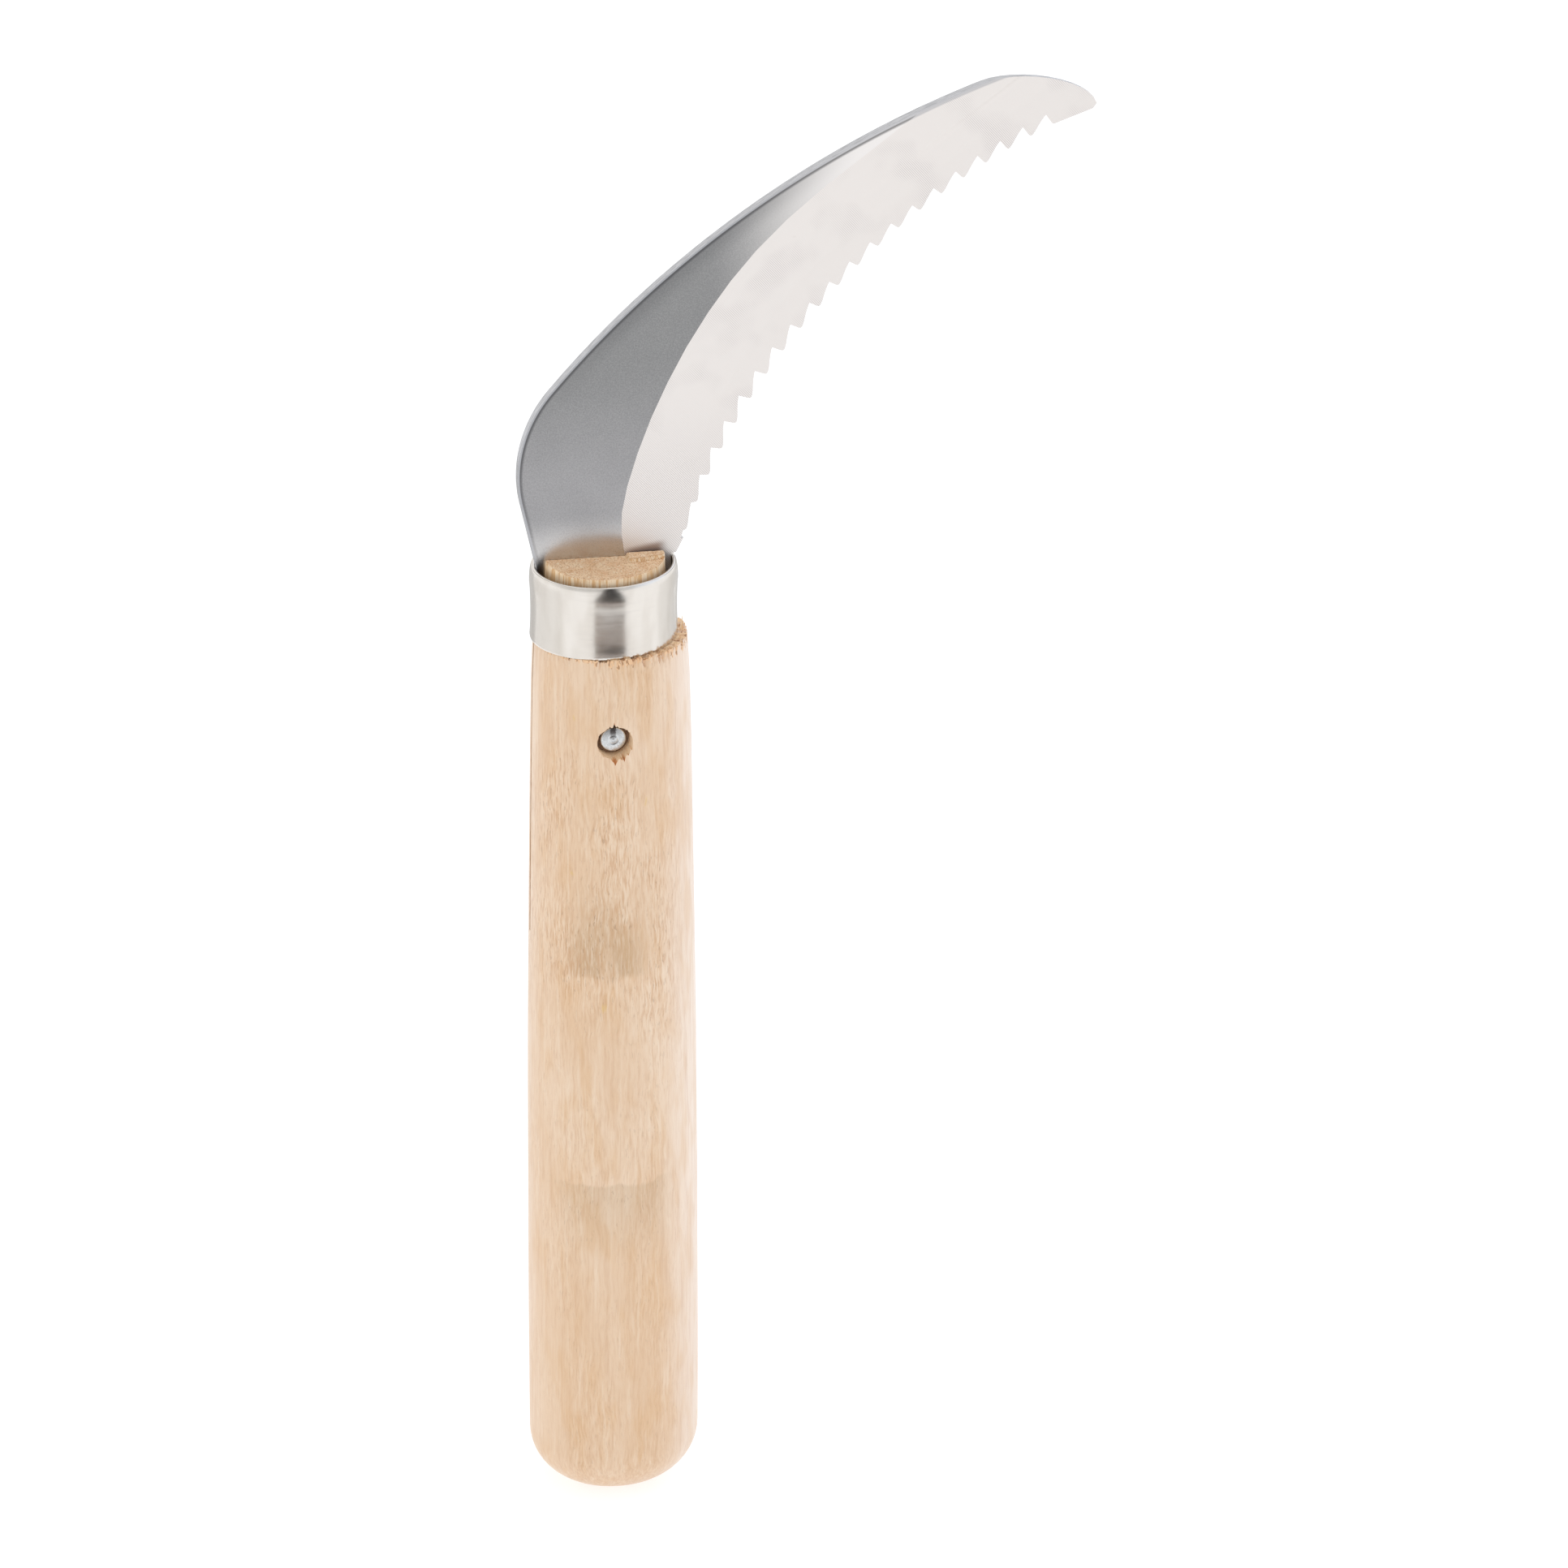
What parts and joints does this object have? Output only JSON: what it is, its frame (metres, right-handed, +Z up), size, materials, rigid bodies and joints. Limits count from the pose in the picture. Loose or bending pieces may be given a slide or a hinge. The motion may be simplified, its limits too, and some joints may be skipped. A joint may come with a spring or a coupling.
{
  "type": "hand sickle",
  "caption": "Short hand sickle: a curved, toothed steel blade whose tang is riveted into a wooden handle under a metal ferrule.",
  "frame": {"origin": "centre of the handle's flat butt face", "axes": "+Z up the handle's axis to the blade, +X toward the blade's point, +Y out of the blade's flat back; the ground face looks along -Y"},
  "size_m": [0.0924, 0.0244, 0.2428],
  "materials": {
    "wood": "bare, fine sanded",
    "blade_steel": "mill finish with a ground bevel",
    "ferrule_metal": "satin",
    "rivet_metal": "satin"
  },
  "bodies": {
    "root": {"handle": "wood", "ferrule": "ferrule_metal", "blade": "blade_steel", "rivet": "rivet_metal"}
  },
  "joints": []
}
